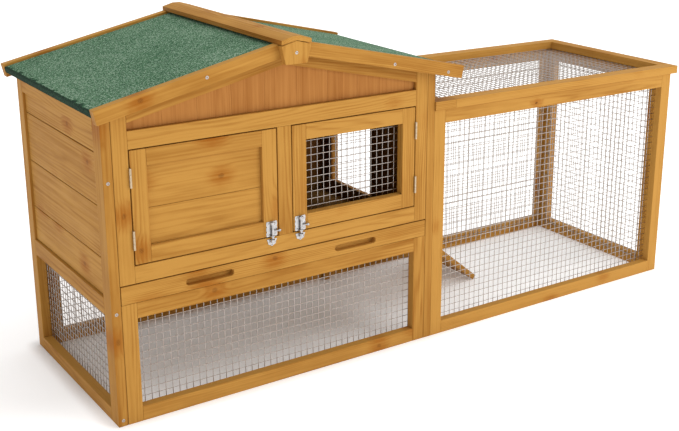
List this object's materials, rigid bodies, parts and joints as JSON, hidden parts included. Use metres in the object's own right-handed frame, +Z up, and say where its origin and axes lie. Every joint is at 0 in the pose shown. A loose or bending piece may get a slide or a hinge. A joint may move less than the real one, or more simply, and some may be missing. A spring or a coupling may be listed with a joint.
{
  "type": "rabbit hutch",
  "caption": "Raised wooden rabbit house with hinged doors, pull-out tray, felted gable roof and inside ramp, joined to a ground-level wire-mesh run.",
  "frame": {"origin": "on the ground, under the middle of the whole object's bounding box", "axes": "+X along the length from the house to the run, +Y from the front with the doors to the back, +Z up"},
  "size_m": [1.4492, 0.5004, 0.6879],
  "materials": {
    "pine": "honey-stained softwood, satin",
    "pine_board": "honey-stained softwood boards, satin",
    "gable_ply": "stained boarding with upright grain, matt",
    "felt": "green mineral roofing felt, rough",
    "wire": "galvanised welded wire mesh",
    "hardware": "bright zinc plate",
    "tray_board": "stained plywood, matt"
  },
  "bodies": {
    "house": {"left_panel_frame": "pine", "right_panel_frame": "pine", "front_upper_frame": "pine", "front_lower_frame": "pine", "back_frame": "pine", "gable_batten_left": "pine", "gable_batten_right": "pine", "tray_runner_left": "pine", "tray_runner_right": "pine", "barge_board_front_left": "pine", "barge_board_front_right": "pine", "barge_board_back_left": "pine", "barge_board_back_right": "pine", "ridge_cap": "pine", "ridge_end_block": "pine", "run_front_frame": "pine", "run_back_frame": "pine", "run_end_frame": "pine", "run_lid_frame": "pine", "left_plank_1": "pine_board", "left_plank_2": "pine_board", "left_plank_3": "pine_board", "left_plank_4": "pine_board", "right_panel_boards": "pine_board", "back_boards": "pine_board", "roof_board_left": "pine_board", "roof_board_right": "pine_board", "front_gable_panel": "gable_ply", "roof_felt_left": "felt", "roof_felt_right": "felt", "left_mesh": "wire", "front_lower_mesh": "wire", "back_lower_mesh": "wire", "run_front_mesh": "wire", "run_back_mesh": "wire", "run_end_mesh": "wire", "run_lid_mesh": "wire", "left_door_hinge_1_fixed_leaf": "hardware", "left_door_hinge_2_fixed_leaf": "hardware", "right_door_hinge_1_fixed_leaf": "hardware", "right_door_hinge_2_fixed_leaf": "hardware", "left_door_keeper": "hardware", "right_door_keeper": "hardware", "ramp_hinge": "hardware"},
    "left_door": {"left_door_frame": "pine", "left_door_lower_board": "pine_board", "left_door_upper_board": "pine_board", "left_door_hinge_1_moving_leaf": "hardware", "left_door_hinge_2_moving_leaf": "hardware", "left_door_bolt_plate": "hardware"},
    "right_door": {"right_door_frame": "pine", "right_door_mesh": "wire", "right_door_hinge_1_moving_leaf": "hardware", "right_door_hinge_2_moving_leaf": "hardware", "right_door_bolt_plate": "hardware"},
    "left_bolt": {"left_door_bolt": "hardware"},
    "right_bolt": {"right_door_bolt": "hardware"},
    "tray": {"tray_front": "pine", "tray_pan": "tray_board"},
    "ramp": {"ramp_board": "pine_board"}
  },
  "joints": [
    {"name": "left_door_hinge", "type": "hinge", "parent": "house", "child": "left_door", "pos_m": [-0.6555, -0.2074, 0.4068], "axis": [0, 0, -1], "range_deg": [0, 160]},
    {"name": "right_door_hinge", "type": "hinge", "parent": "house", "child": "right_door", "pos_m": [-0.0481, -0.2074, 0.4068], "axis": [0, 0, 1], "range_deg": [0, 160]},
    {"name": "left_bolt_slide", "type": "slide", "parent": "left_door", "child": "left_bolt", "axis": [0, 0, -1], "range_m": [0, 0.006]},
    {"name": "right_bolt_slide", "type": "slide", "parent": "right_door", "child": "right_bolt", "axis": [0, 0, -1], "range_m": [0, 0.006]},
    {"name": "tray_slide", "type": "slide", "parent": "house", "child": "tray", "axis": [0, -1, 0], "range_m": [0, 0.36]},
    {"name": "ramp_hinge", "type": "hinge", "parent": "house", "child": "ramp", "pos_m": [0.00425, 0.0812, 0.2459], "axis": [0, -1, 0], "range_deg": [0, 70]}
  ]
}
